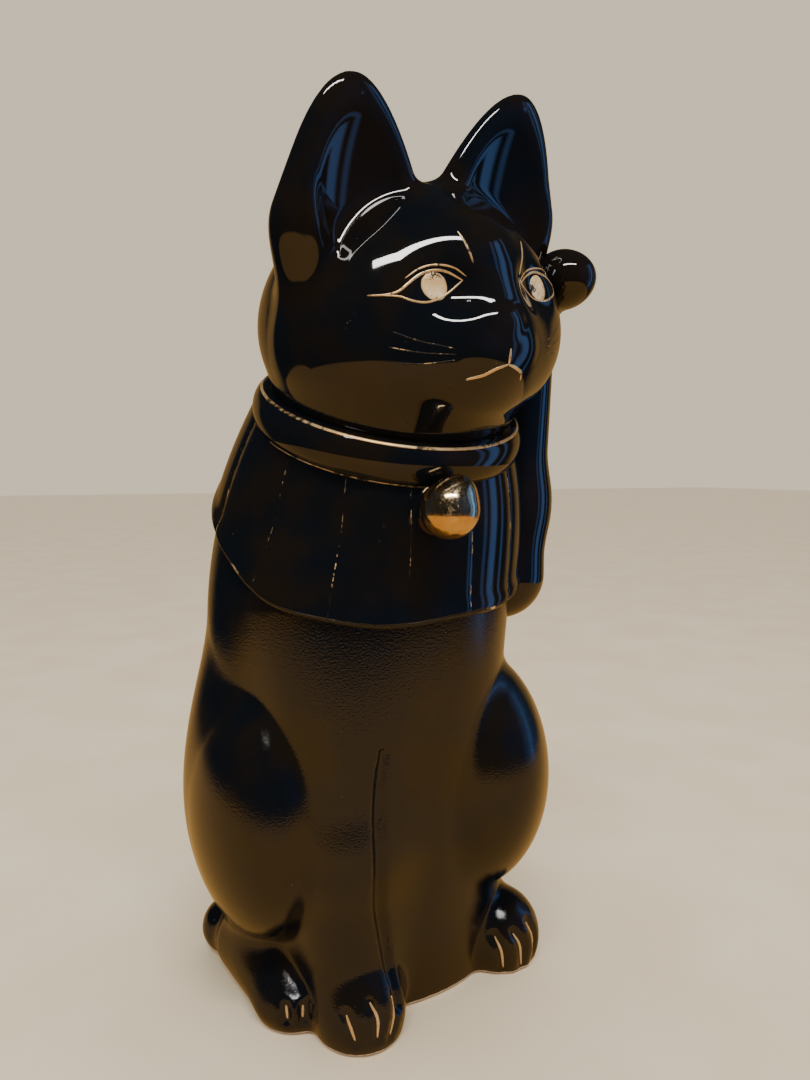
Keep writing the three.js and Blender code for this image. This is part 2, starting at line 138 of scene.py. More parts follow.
def ease(value, start, end):
    t = np.clip((value - start) / (end - start), 0, 1)
    return t * t * (3 - 2 * t)


def ellipsoid(centre, radii, turn=(0, 0, 0)):
    """An ellipsoid, turned in degrees about x, then y, then z."""
    basis = rotation(*turn, "xyz")
    radii = np.array(radii, float)

    def field(p):
        q = (p - np.array(centre)) @ basis
        near = np.linalg.norm(q / radii, axis=-1)
        slope = np.linalg.norm(q / radii ** 2, axis=-1) + 1e-9
        return near * (near - 1) / slope
    return field


def limb(start, end, start_radius, end_radius):
    """A round-ended bar whose radius changes evenly along it."""
    start = np.array(start, float)
    axis = np.array(end, float) - start

    def field(p):
        q = p - start
        along = np.clip(q @ axis / (axis @ axis), 0, 1)
        away = np.linalg.norm(q - along[..., None] * axis, axis=-1)
        return away - (start_radius + (end_radius - start_radius) * along)
    return field


def blend(k, *forms):
    """The union of forms, with seams rounded over a width of k."""
    def field(p):
        total = forms[0](p)
        for form in forms[1:]:
            total = smooth_min(total, form(p), k)
        return total
    return field


def carve(form, tool, k):
    """The form without the tool, with the cut's edge rounded over a width of k."""
    return lambda p: smooth_max(form(p), -tool(p), k)


def only_near(tool, centre, reach):
    """A small tool's field near its place; far from it the value is simply large."""
    def field(p):
        value = np.full(p.shape[:-1], float(reach))
        close = ((p - centre) ** 2).sum(-1) < reach ** 2
        value[close] = tool(p[close])
        return value
    return field


def column(stations):
    """An elliptical column whose stations are joined by smooth cubic curves through height."""
    heights = stations[:, 0]
    last = len(stations) - 1

    def at(z, field):
        i = np.clip(np.searchsorted(heights, z, side="right") - 1, 0, last - 1)
        before, after = np.clip(i - 1, 0, last), np.clip(i + 2, 0, last)
        span = heights[i + 1] - heights[i]
        t = np.clip((z - heights[i]) / span, 0, 1)
        value = stations[:, field]
        slope0 = (value[i + 1] - value[before]) / (heights[i + 1] - heights[before]) * span
        slope1 = (value[after] - value[i]) / (heights[after] - heights[i]) * span
        return ((2 * t ** 3 - 3 * t ** 2 + 1) * value[i] + (t ** 3 - 2 * t ** 2 + t) * slope0
                + (3 * t ** 2 - 2 * t ** 3) * value[i + 1] + (t ** 3 - t ** 2) * slope1)

    def field(p):
        z = p[..., 2]
        half_width, half_depth, middle = at(z, 1), at(z, 2), at(z, 3)
        ring = np.hypot(p[..., 0] / half_width, (p[..., 1] - middle) / half_depth)
        return (ring - 1) * np.minimum(half_width, half_depth)
    return field


def in_axes(form, centre, basis):
    """A form given in local axes, seen from the modelling axes."""
    return lambda p: form((p - centre) @ basis)


def gradient(form, p, step=0.04):
    """The field's slope at points, by central differences."""
    slope = np.empty_like(p)
    for axis in range(3):
        offset = np.zeros(3)
        offset[axis] = step
        slope[..., axis] = (form(p + offset) - form(p - offset)) / (2 * step)
    return slope


def settle(form, p, rounds=3):
    """Moves points onto the form's exact surface."""
    for _ in range(rounds):
        slope = gradient(form, p)
        step = np.clip(form(p) / np.maximum((slope ** 2).sum(-1), 0.2), -0.6, 0.6)
        p = p - slope * step[..., None]
    return p


def normals_of(form, p):
    slope = gradient(form, p)
    return slope / np.maximum(np.linalg.norm(slope, axis=-1, keepdims=True), 1e-9)


def cast(form, start, direction, reach):
    """The first surface point met from each start point along its direction."""
    start = np.atleast_2d(np.array(start, float))
    direction = np.broadcast_to(direction, start.shape)
    t = np.zeros(len(start))
    for _ in range(80):
        t = np.clip(t + 0.7 * form(start + direction * t[:, None]), 0, reach)
    return settle(form, start + direction * t[:, None])


def smooth_path(points, count):
    """Evenly spaced points on a smooth curve through the given ones, in two or three dimensions."""
    points = np.array(points, float)
    padded = np.vstack([2 * points[0] - points[1], points, 2 * points[-1] - points[-2]])
    fine = []
    for i in range(len(points) - 1):
        a, b, c, d = padded[i:i + 4]
        t = np.linspace(0, 1, 24, endpoint=False)[:, None]
        fine.append(0.5 * (2 * b + (c - a) * t + (2 * a - 5 * b + 4 * c - d) * t ** 2
                           + (3 * b - a - 3 * c + d) * t ** 3))
    fine = np.vstack([*fine, points[-1:]])
    length = np.r_[0, np.cumsum(np.linalg.norm(np.diff(fine, axis=0), axis=1))]
    at = np.linspace(0, length[-1], count)
    return np.stack([np.interp(at, length, fine[:, i]) for i in range(fine.shape[1])], -1)


# ------------------------------------------------------------------ forms of the figure
HEAD_BASIS = rotation(*HEAD_TURN, "yxz")
COLLAR_BASIS = rotation(COLLAR_TILT, 0, 0, "x")


def trunk_form():
    """Torso and flanks, without thighs or legs."""
    torso = column(TORSO)
    right_flank = ellipsoid((-27, 23, 138), (33, 34, 74), (0, 4, 0))
    left_flank = ellipsoid((14, 22, 158), (31, 33, 56))
    return blend(16, torso, right_flank, left_flank)


def thighs_form():
    """Each thigh is a rounded haunch behind and a knee in front."""
    right_haunch = ellipsoid((-36.5, 31, 71), (30, 40.5, 46.5), (0, 4, 0))
    right_knee = ellipsoid((-46, 9, 72), (20, 30, 42))
    left_haunch = ellipsoid((37, 29, 71), (30, 40.5, 46.5), (0, -4, 0))
    left_knee = ellipsoid((28, 4, 76), (26, 33, 44), (10, 0, 0))
    right = blend(14, right_haunch, right_knee)
    left = blend(14, left_haunch, left_knee)
    return lambda p: np.minimum(right(p), left(p))


def with_thighs(form):
    """Joins the thighs on with a crease in front that turns soft behind."""
    thighs = thighs_form()
    return lambda p: smooth_min(form(p), thighs(p), 3.5 + 26.5 * ease(p[..., 1], 0, 48))


TOE_GROOVE_RADIUS = 2.0
TOE_GROOVE_LIFT = 1.4                # the grooving bars' middle lies this far above the paw's skin
TOE_GROOVE_REACH = 20.0
FORELEG_REACH = 60.0
FORELEG_GROOVE_RADII = (1.5, 2.0)    # at the top and at the foot
FORELEG_LINE = (                     # the line between foreleg and chest, as x and height
    (-17.5, 97), (-19, 84), (-19.4, 68), (-18.5, 50), (-15.5, 36), (-12.8, 24), (-11.0, 12))
FOREPAW = ((-20.5, -11, 8), (15.5, 16.5, 19))
RIGHT_TOES = ((-36.5, 4, 8), (12.5, 13, 15.5))
LEFT_TOES = ((42.2, 4.5, 8), (15, 14.5, 16.8))

# claw lines: paw, then azimuth from straight ahead and elevation along each line
CLAW_LINES = (
    (FOREPAW, ((-36, 22), (-30, 8), (-25, -6))),
    (FOREPAW, ((-6, 34), (2, 16), (1, -6))),
    (FOREPAW, ((31, 30), (28, 13), (19, -10))),
    (RIGHT_TOES, ((-36, 12), (-34, -8))),
    (RIGHT_TOES, ((-10, 12), (-11, -6))),
    (LEFT_TOES, ((-36, 27), (-26, 8), (-22, -20))),
    (LEFT_TOES, ((-5, 30), (5, 12), (10, -22))),
    (LEFT_TOES, ((30, 36), (37, 12), (38, -20))),
)


def aim(azimuth, elevation):
    """Unit direction: azimuth from straight ahead (-y) towards the left (+x), elevation above level."""
    a, e = np.radians(azimuth), np.radians(elevation)
    return np.stack([np.sin(a) * np.cos(e), -np.cos(a) * np.cos(e), np.sin(e)], -1)


def toe_groove(paw, line):
    """The shallow channel that a claw line lies in, cut by bars that dip into the paw's skin."""
    centre, radii = np.array(paw[0]), np.array(paw[1])
    points = []
    for azimuth, elevation in line:
        direction = aim(azimuth, elevation)
        skin_distance = 1 / np.linalg.norm(direction / radii)
        points.append(centre + direction * (skin_distance + TOE_GROOVE_LIFT))
    bars = [limb(a, b, TOE_GROOVE_RADIUS, TOE_GROOVE_RADIUS) for a, b in zip(points, points[1:])]
    return only_near(blend(1, *bars), np.mean(points, 0), TOE_GROOVE_REACH)


def foreleg_groove(figure):
    """The line between foreleg and chest, cut along points where rays from in front meet the figure."""
    route = smooth_path(FORELEG_LINE, 18)
    start = np.stack([route[:, 0], np.full(len(route), -60.0), route[:, 1]], -1)
    points = cast(figure, start, np.array((0.0, 1.0, 0.0)), 80)
    radii = np.linspace(*FORELEG_GROOVE_RADII, len(points))
    channel = blend(0.05, *[limb(*step) for step in zip(points, points[1:], radii, radii[1:])])
    return only_near(channel, np.mean(points, 0), FORELEG_REACH)


def body_form():
    """Trunk, thighs, right foreleg, feet and tail stump, with the grooves of the foreleg and toes."""
    upper_foreleg = limb((-30, -5, 142), (-23.5, -8, 62), 20.5, 16.5)
    lower_foreleg = limb((-23.5, -8, 62), (-21.5, -6, 14), 16.5, 13.5)
    foreleg = blend(10, upper_foreleg, lower_foreleg)
    forepaw = ellipsoid(*FOREPAW)
    right_foot = blend(6, limb((-39, 6, 10), (-44, 38, 10), 13, 13), ellipsoid(*RIGHT_TOES))
    instep = np.array((-0.10, -0.55, 0.83))
    outer_side = np.array((-0.80, -0.35, 0.49))
    right_foot = carve(right_foot, lambda p: (np.array((-44, 2, 18.5)) - p) @ instep, 2.5)
    right_foot = carve(right_foot, lambda p: (np.array((-49, 2, 12)) - p) @ outer_side, 3)
    left_foot = blend(6, limb((42.5, 7, 10), (45, 38, 10), 14, 12.5), ellipsoid(*LEFT_TOES))
    tail = limb((-49, 52, 9), (-14, 62, 14), 10.5, 12)
    figure = blend(4, with_thighs(blend(12, trunk_form(), foreleg)), forepaw, right_foot, left_foot, tail)
    figure = carve(figure, foreleg_groove(figure), 1.6)
    for paw, line in CLAW_LINES:
        figure = carve(figure, toe_groove(paw, line), 1.5)
    return figure


def skull_form():
    """The skull in the head's own axes: x to its left, -y forward, z up."""
    dome = ellipsoid((0, -6, 3), (42, 37, 36))
    occiput = ellipsoid((0, 7, -3), (46.5, 38, 36))
    right_cheek = ellipsoid((-18, -9, -9.5), (27.5, 31, 24.5))
    left_cheek = ellipsoid((17, -9, -9.5), (26.8, 31, 24.5))
    muzzle = ellipsoid((FACE_X, -32, -15.5), (17, 15, 11.5))
    mound = ellipsoid((FACE_X, -31, -12.5), (23, 16.5, 12.5))
    chin = ellipsoid((FACE_X, -29, -22.5), (15, 13, 9))
    bridge = limb((MOUTH_X, -31, 13), (MOUTH_X, -37, -5), 10.3, 11)
    nose = ellipsoid((MOUTH_X, -46.5, -4), (6.2, 5, 4.5))
    pads = [ellipsoid((MOUTH_X + side * 6.4, -44.5, -11), (6.4, 4.8, 5.4)) for side in (-1, 1)]
    skull = blend(12, blend(14, dome, occiput, right_cheek, left_cheek), blend(6, muzzle, mound, chin))
    skull = blend(3, blend(13, skull, bridge), nose, *pads)
    for side in (-1, 1):
        skull = carve(skull, ellipsoid((EYES_X + side * 20.5, -51, 7.0), (12.5, 11, 7.5)), 6)
    return skull


def ear_form(side):
    """A flattened parabolic leaf with a hollow front, in the head's axes."""
    tip, foot, spread_in, spread_out, dish_place, dish_radii = EARS[side]
    tip, foot = np.array(tip), np.array(foot)
    dish = ellipsoid(dish_place, dish_radii, (14, 0, 0))
    narrowing, waist_start, waist_end = EAR_WAIST
    cut_out, cut_down, cut_height, cut_distance = EAR_CUT

    def leaf(p):
        t = (tip[2] - p[..., 2]) / (tip[2] - foot[2])
        waist = 1 - narrowing * ease(t, waist_start, waist_end)
        across = side * (p[..., 0] - (tip[0] + (foot[0] - tip[0]) * t)) / waist
        through = (p[..., 1] - (tip[1] + (foot[1] - tip[1]) * t)) / EAR_FLATNESS / waist
        spread = np.where(across > 0, spread_out, spread_in)
        round_sq = across ** 2 + through ** 2
        slope = np.sqrt(1 + 4 * round_sq / spread ** 4) / EAR_FLATNESS ** 0.5
        return ((across / spread) ** 2 + (through / EAR_MEAN_SPREAD) ** 2 - (tip[2] - p[..., 2])) / slope

    def footed(p):
        outwards = side * p[..., 0]
        below_cut = cut_out * outwards - cut_down * (p[..., 2] - cut_height) - cut_distance
        return smooth_max(leaf(p), below_cut, EAR_CUT_SOFTNESS)
    return carve(footed, dish, 3)


def head_form():
    """Skull and ears in the head's axes, joined more softly towards the ears' outer feet."""
    skull, right_ear, left_ear = skull_form(), ear_form(-1), ear_form(1)
    least, gain, start, end = EAR_JOIN

    def field(p):
        soft = least + gain * ease(np.abs(p[..., 0]), start, end)
        return smooth_min(skull(p), np.minimum(right_ear(p), left_ear(p)), soft)
    return field


def head_on_neck():
    """The head in the modelling axes, with the neck that fills the collar."""
    neck = ellipsoid((-2, 1, 206), (38.5, 38.2, 34))
    return blend(6, in_axes(head_form(), HEAD_CENTRE, HEAD_BASIS), neck)


def arm_form():
    """The raised left arm: elbow, forearm and a paw that curls forwards."""
    elbow = limb((42.5, 7, 146), (44, 7, 172), 16.5, 15.2)
    forearm = limb((44, 7, 172), (50, 4, 236), 15.2, 11.2)
    wrist = limb((51, 4, 247), (53.5, -13, 248), 9.5, 9.2)
    paw = ellipsoid((54.3, -15, 248), (9.7, 11, 8.8))
    return blend(8, blend(10, elbow, forearm), blend(4, wrist, paw))


def level(p):
    """Height above the collar's middle plane, along the collar's own axis."""
    return ((p - COLLAR_CENTRE) @ COLLAR_BASIS)[..., 2]


def collar_form():
    """A padded roll round the neck, with an oval section."""
    def field(p):
        q = (p - COLLAR_CENTRE) @ COLLAR_BASIS
        out = (np.hypot(q[..., 0] / COLLAR_RADII[0], q[..., 1] / COLLAR_RADII[1]) - 1) * COLLAR_RADII[0]
        near = np.hypot(out / COLLAR_SECTION[0], q[..., 2] / COLLAR_SECTION[1])
        return (near - 1) * COLLAR_SECTION[0]
    return field


def spine_y(height):
    """Where the body's middle lies at a height; the body leans forward as it rises."""
    return SPINE_Y[0] + (SPINE_Y[1] - SPINE_Y[0]) * np.clip(height / BODY_TOP, 0, 1)


def spine_angle(p):
    """Angle round the body from straight ahead, in radians."""
    return np.arctan2(p[..., 0] - SPINE_X, spine_y(p[..., 2]) - p[..., 1])


def hem_height(angle):
    """Height of the bib's lower edge round the body."""
    depth, place, width = BIB_DIP
    dip = depth * np.exp(-((angle - place) / width) ** 2)
    return BIB_FRONT_HEM - dip + BIB_RISE * ((1 - np.cos(angle)) / 2) ** BIB_RISE_POWER


def bib_form(body):
    """A pleated cape over the body: puffed panels between sharp pleat lines, with a soft hem."""
    lip_height, lip_place, lip_width = BIB_LIP

    def field(p):
        angle = spine_angle(p)
        hem = hem_height(angle)
        puff = BIB_PUFF * np.abs(np.cos(angle * BIB_PLEATS / 2)) ** 0.6
        lip = lip_height * np.exp(-((p[..., 2] - hem - lip_place) / lip_width) ** 2)
        sheet = body(p) - BIB_THICKNESS - puff - lip
        below_hem = (hem - p[..., 2]) * 0.9
        return smooth_max(smooth_max(sheet, below_hem, 1.6), level(p) - 1, 1)
    return field


def bow_form():
    """The collar's knot at the nape with its two ends."""
    loops = [limb(BOW_CENTRE, BOW_CENTRE + (side * 22, -6, -5), 4, 7) for side in (-1, 1)]
    return blend(4, ellipsoid(BOW_CENTRE, (6, 6, 7)), *loops)


# ------------------------------------------------------------------ fields to meshes
def make_mesh(name, points, faces, normals=None):
    """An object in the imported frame, in metres, from points in the modelling axes."""
    mesh = bpy.data.meshes.new(name)
    mesh.from_pydata(((points + TO_FRAME) * MM).tolist(), [], faces)
    mesh.update()
    mesh.polygons.foreach_set("use_smooth", [True] * len(mesh.polygons))
    if normals is not None:
        mesh.normals_split_custom_set_from_vertices(normals.tolist())
    piece = bpy.data.objects.new(name, mesh)
    bpy.context.scene.collection.objects.link(piece)
    return piece


def skin(name, form, low, high, voxel):
    """A closed quad mesh on the form's surface, its points settled and its normals exact."""
    low, high = np.array(low, float), np.array(high, float)
    counts = np.ceil((high - low) / voxel).astype(int) + 1
    axes = [low[i] + voxel * np.arange(counts[i]) for i in range(3)]
    values = np.empty(counts, np.float32)
    for i, x in enumerate(axes[0]):
        sheet = np.stack(np.meshgrid([x], axes[1], axes[2], indexing="ij"), -1).reshape(-1, 3)
        values[i] = form(sheet).reshape(counts[1], counts[2])
    band = 3 * voxel
    grid = openvdb.FloatGrid(band)
    grid.copyFromArray(np.clip(values, -band, band))
    points, quads = grid.convertToQuads(0.0)
    points = settle(form, points.astype(float) * voxel + low)
    corners = points[quads]
    volume = np.einsum("ij,ij->i", corners[:, 0], np.cross(corners[:, 1], corners[:, 2])).sum()
    if volume < 0:
        quads = quads[:, ::-1]
    return make_mesh(name, points, quads.tolist(), normals_of(form, points))


# ------------------------------------------------------------------ raised gilt lines
def bands(rings, around):
    """The quads between rings of points that follow each other."""
    faces = []
    for ring in range(rings - 1):
        a, b = ring * around, (ring + 1) * around
        for i in range(around):
            j = (i + 1) % around
            faces.append((a + i, a + j, b + j, b + i))
    return faces


class Relief:
    """Collects thin closed domed shapes that lie on a form, to be made into one mesh."""

    def __init__(self, form):
        self.form = form
        self.points = []
        self.faces = []
        self.count = 0

    def add(self, points, faces):
        self.points.append(points)
        self.faces.extend([tuple(int(i) + self.count for i in face) for face in faces])
        self.count += len(points)

    def line(self, path, half_width, height=0.12, taper=0.35, sink=0.35):
        """A brushed line along points on the surface, thinner towards its two ends."""
        along = np.gradient(path, axis=0)
        along /= np.linalg.norm(along, axis=1, keepdims=True)
        up = normals_of(self.form, path)
        side = np.cross(up, along)
        t = np.linspace(0, 1, len(path))
        width = half_width * (taper + (1 - taper) * np.sin(np.pi * t) ** 0.5)[:, None]
        edges = []
        sides = 8
        for i in range(sides):
            angle = 2 * np.pi * i / sides
            lift = np.sin(angle) * (height if np.sin(angle) > 0 else sink)
            edges.append(path + side * np.cos(angle) * width + up * lift)
        faces = bands(len(path), sides)
        faces.append(tuple(range(sides))[::-1])
        faces.append(tuple((len(path) - 1) * sides + i for i in range(sides)))
        self.add(np.stack(edges, 1).reshape(-1, 3), faces)

    def disc(self, place, rings=6, around=36, height=0.3, sink=0.3):
        """A low dome. place(r, angle) gives surface points for radius 0 to 1."""
        angle = 2 * np.pi * np.arange(around) / around
        top = []
        for ring in range(rings, 0, -1):
            r = ring / rings
            p = place(np.full(around, r), angle)
            top.append(p + normals_of(self.form, p) * height * (1 - r ** 2) ** 0.7)
        centre = place(np.zeros(1), np.zeros(1))
        up = normals_of(self.form, centre)
        edge = place(np.full(around, 0.97), angle)
        under = edge - normals_of(self.form, edge) * sink
        points = np.vstack([*top, centre + up * height, under, centre - up * sink])
        faces = bands(rings, around)
        crown, base = rings * around, rings * around + 1
        inner = (rings - 1) * around
        for i in range(around):
            j = (i + 1) % around
            faces.append((inner + i, inner + j, crown))
            faces.append((i, base + i, base + j, j))
            faces.append((base + j, base + i, base + around))
        self.add(points, faces)

    def make(self, name):
        return make_mesh(name, np.vstack(self.points), self.faces)


# ------------------------------------------------------------------ materials
def math_node(tree, operation, *values):
    """A Math node whose inputs are numbers or other nodes' outputs."""
    made = tree.nodes.new("ShaderNodeMath")
    made.operation = operation
    for socket, value in zip(made.inputs, values):
        if isinstance(value, (int, float)):
            socket.default_value = value
        else:
            tree.links.new(value, socket)
    return made.outputs["Value"]


def remap_node(tree, value, low, high, to_low, to_high):
    """A smooth step from to_low to to_high while the value goes from low to high."""
    made = tree.nodes.new("ShaderNodeMapRange")
    made.interpolation_type = "SMOOTHSTEP"
    tree.links.new(value, made.inputs["Value"])
    for socket, number in zip(("From Min", "From Max", "To Min", "To Max"), (low, high, to_low, to_high)):
        made.inputs[socket].default_value = number
    return made.outputs["Result"]


class Graph:
    """A material's node tree with short names for the nodes that the finishes share."""

    def __init__(self, name, **settings):
        self.material = bpy.data.materials.new(name)
        self.material.use_nodes = True
        self.tree = self.material.node_tree
        self.shader = self.tree.nodes["Principled BSDF"]
        for socket, value in settings.items():
            self.shader.inputs[socket.replace("_", " ")].default_value = value
        self.place = self.tree.nodes.new("ShaderNodeTexCoord").outputs["Object"]

    def node(self, kind, links=(), **values):
        made = self.tree.nodes.new(kind)
        for key, value in values.items():
            if key in made.inputs:
                made.inputs[key].default_value = value
            else:
                setattr(made, key, value)
        for socket, source in links:
            self.tree.links.new(source, made.inputs[socket])
        return made

    def noise(self, scale, detail=2.0, roughness=0.5, distortion=0.0):
        made = self.node("ShaderNodeTexNoise", [("Vector", self.place)],
                         Scale=scale, Detail=detail, Roughness=roughness, Distortion=distortion)
        return made.outputs["Fac"]

    def cells(self, scale):
        made = self.node("ShaderNodeTexVoronoi", [("Vector", self.place)], feature="F1", Scale=scale)
        return made.outputs["Distance"]

    def remap(self, value, low, high, to_low=0.0, to_high=1.0):
        return remap_node(self.tree, value, low, high, to_low, to_high)

    def math(self, operation, *values):
        return math_node(self.tree, operation, *values)

    def mix(self, factor, a, b):
        made = self.tree.nodes.new("ShaderNodeMix")
        made.data_type = "RGBA"
        self.tree.links.new(factor, made.inputs["Factor"])
        for socket, value in zip(("A", "B"), (a, b)):
            target = [i for i in made.inputs if i.name == socket and i.type == "RGBA"][0]
            if isinstance(value, tuple):
                target.default_value = (*value, 1)
            else:
                self.tree.links.new(value, target)
        return [o for o in made.outputs if o.type == "RGBA"][0]

    def bump(self, height, distance, under=None):
        made = self.node("ShaderNodeBump", [("Height", height)], Distance=distance, Strength=1.0)
        if under is not None:
            self.tree.links.new(under, made.inputs["Normal"])
        return made.outputs["Normal"]

    def send(self, **sources):
        for socket, source in sources.items():
            self.tree.links.new(source, self.shader.inputs[socket.replace("_", " ")])
        return self.material


BLACK_BLUE = (0.0035, 0.0045, 0.0065)
BLACK_BROWN = (0.0085, 0.0060, 0.0040)
DUST = (0.16, 0.14, 0.12)
CLAY_PALE = (0.60, 0.46, 0.33)
CLAY_DARK = (0.36, 0.25, 0.17)
GOLD_PALE = (0.86, 0.70, 0.46)
GOLD_DEEP = (0.72, 0.46, 0.20)
GLAZE_IOR = 1.56


def glaze_colour(graph):
    """Colour and roughness of the black glaze: pooled colour, haze, scuffs and dust."""
    colour = graph.mix(graph.remap(graph.noise(38, 3), 0.42, 0.66), BLACK_BLUE, BLACK_BROWN)
    speck_size = graph.remap(graph.noise(90, 1), 0.55, 0.8, 0.0, 0.09)
    speck = graph.math("LESS_THAN", graph.cells(620), speck_size)
    colour = graph.mix(speck, colour, DUST)
    haze = graph.remap(graph.noise(30, 4, 0.6), 0.45, 0.75, 0.02, 0.06)
    scuff = graph.remap(graph.noise(240, 5, 0.7, 1.5), 0.52, 0.74, 0.0, 0.03)
    roughness = graph.math("ADD", haze, scuff)
    return colour, graph.math("ADD", roughness, graph.math("MULTIPLY", speck, 0.4))


def glaze_relief(graph, wave):
    """Slow waves, a faint ripple and rare pinholes in the glaze."""
    normal = graph.bump(graph.noise(55, 1), wave)
    normal = graph.bump(graph.noise(420, 2), 0.5e-6, normal)
    pinhole = graph.remap(graph.cells(170), 0.05, 0.11)
    rare = graph.remap(graph.noise(60, 0), 0.60, 0.68)
    pit = graph.math("MAXIMUM", pinhole, graph.math("SUBTRACT", 1.0, rare))
    return graph.bump(pit, 4.0e-5, normal)


def black_glaze(name, ior=GLAZE_IOR, wave=3.0e-5):
    graph = Graph(name, IOR=ior)
    colour, roughness = glaze_colour(graph)
    return graph.send(Base_Color=colour, Roughness=roughness, Normal=glaze_relief(graph, wave))


def footed_glaze(name):
    """The body's glaze, with a fine grit in its surface. It stops just above the shelf in a ragged line,
    with bare clay below it.
    """
    graph = Graph(name, IOR=GLAZE_IOR)
    colour, roughness = glaze_colour(graph)
    height = graph.node("ShaderNodeSeparateXYZ", [("Vector", graph.place)]).outputs["Z"]
    ragged = graph.math("ADD", height, graph.math("MULTIPLY", graph.noise(160, 3), -1.4 * MM))
    bare = graph.remap(ragged, BARE_CLAY_FROM * MM, BARE_CLAY_TO * MM, 1.0, 0.0)
    clay = graph.mix(graph.remap(graph.noise(900, 4), 0.35, 0.65), CLAY_DARK, CLAY_PALE)
    rough = graph.math("MAXIMUM", roughness, graph.math("MULTIPLY", bare, 0.85))
    return graph.send(
        Base_Color=graph.mix(bare, colour, clay), Roughness=rough,
        Normal=graph.bump(graph.noise(1500, 3), 8.0e-5))


def bare_clay():
    graph = Graph("bare_clay")
    speckle = graph.math("LESS_THAN", graph.cells(700), 0.12)
    clay = graph.mix(graph.remap(graph.noise(120, 5), 0.35, 0.65), CLAY_DARK, CLAY_PALE)
    clay = graph.mix(speckle, clay, CLAY_DARK)
    return graph.send(
        Base_Color=clay, Roughness=graph.remap(graph.noise(300, 3), 0.3, 0.7, 0.75, 0.92),
        Normal=graph.bump(graph.noise(900, 4), 1.2e-4))


def worn_gilt(name, wear, grain, deep=0.4, rough=(0.26, 0.46), metal=0.62):
    """Overglaze gold that is rubbed through to the black. wear runs from 0, whole, to 1, gone; a higher
    grain gives finer wear, and deep is how much of the gold is the deeper one.
    """
    graph = Graph(name, IOR=1.5)
    rubbed = graph.math("ADD", graph.math("MULTIPLY", graph.noise(grain, 5, 0.7), 0.6),
                        graph.math("MULTIPLY", graph.noise(grain / 8, 2), 0.4))
    edge = 0.30 + 0.40 * wear
    whole = graph.remap(rubbed, edge - 0.035, edge + 0.035)
    tint = graph.remap(graph.noise(grain / 5, 3), 0.5 - deep, 1.0 - deep)
    gold = graph.mix(tint, GOLD_PALE, GOLD_DEEP)
    colour = graph.mix(whole, BLACK_BROWN, gold)
    sheen = graph.remap(graph.noise(grain * 1.5, 4), 0.35, 0.65, *rough)
    return graph.send(Base_Color=colour, Metallic=graph.math("MULTIPLY", whole, metal), Roughness=sheen,
                      Normal=graph.bump(graph.noise(grain * 1.2, 3), 1.5e-5))


# ------------------------------------------------------------------ pieces of the cat
def finish_piece(piece, material, slot, *nodes):
    """Material and body of a piece, and the CAD nodes whose place it takes. The slot argument is not used.
    """
    piece.data.materials.append(material)
    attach(piece, "root")
    if nodes:
        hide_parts(*nodes)


def bare_inside(piece, in_hollow):
    """Gives the faces whose centres pass the test, in the modelling axes, the unglazed clay."""
    piece.data.materials.append(bare_clay())
    centres = np.empty(len(piece.data.polygons) * 3)
    piece.data.polygons.foreach_get("center", centres)
    inside = in_hollow(centres.reshape(-1, 3) / MM - TO_FRAME)
    piece.data.polygons.foreach_set("material_index", inside.astype(np.int32))


BODY = body_form()
SKULL = in_axes(skull_form(), HEAD_CENTRE, HEAD_BASIS)
HEAD = head_on_neck()
TRUNK = with_thighs(trunk_form())
BIB = bib_form(BODY)
COLLAR = collar_form()


def hollow(p):
    """The casting's empty inside: the trunk's, up to its ceiling, and the way through the neck."""
    inside = smooth_max(TRUNK(p) + WALL, p[..., 2] - CAVITY_TOP, 6)
    (x, y), radius = NECK_HOLE
    neck = np.maximum(np.hypot(p[..., 0] - x, p[..., 1] - y) - radius, CAVITY_TOP - 12 - p[..., 2])
    return smooth_min(inside, neck, 4)


def make_body():
    def form(p):
        outer = smooth_max(BODY(p), -p[..., 2], 1.6)
        return smooth_max(smooth_max(outer, level(p), 1), -hollow(p), 1)
    piece = skin("body_glaze", form, (-72, -36, -2), (72, 78, 222), BODY_VOXEL)
    finish_piece(piece, footed_glaze("black_glaze_body"), "black_glaze", "body_casting")
    bare_inside(piece, lambda p: hollow(p) < CLAY_SKIN)


def make_head():
    def form(p):
        shell = smooth_max(HEAD(p), -level(p) + 0.4, 1)
        (x, y), radius = NECK_HOLE
        opening = np.hypot(p[..., 0] - x, p[..., 1] - y) - radius
        inside = smooth_min(SKULL(p) + WALL, np.maximum(opening, p[..., 2] - HEAD_CENTRE[2]), 4)
        return smooth_max(shell, -inside, 1)
    piece = skin("head_glaze", form, (-56, -58, 184), (60, 48, 302), HEAD_VOXEL)
    nodes = ("head_casting", "right_ear", "left_ear")
    finish_piece(piece, black_glaze("black_glaze_head"), "black_glaze", *nodes)
    bare_inside(piece, lambda p: SKULL(p) < CLAY_SKIN - WALL)


def make_arm():
    piece = skin("arm_glaze", arm_form(), (20, -32, 128), (66, 26, 262), FINE_VOXEL)
    finish_piece(piece, black_glaze("black_glaze_arm"), "black_glaze", "raised_left_arm")


def make_collar():
    piece = skin("collar_roll", COLLAR, (-52, -44, 176), (48, 54, 226), FINE_VOXEL)
    finish_piece(piece, black_glaze("collar_black", wave=4.0e-5), "collar_glaze", "collar")


def make_bow():
    piece = skin("tied_bow", bow_form(), (-34, 34, 198), (30, 62, 228), BOW_VOXEL)
    finish_piece(piece, black_glaze("collar_black_bow", wave=4.0e-5), "collar_glaze", "collar_bow")


def make_bib():
    def form(p):
        return smooth_max(BIB(p), -BODY(p) - 1.5, 0.5)
    piece = skin("bib_glaze", form, (-66, -46, 132), (62, 62, 226), FINE_VOXEL)
    finish_piece(piece, black_glaze("bib_black", ior=1.58, wave=4.0e-5), "bib_glaze", "bib")


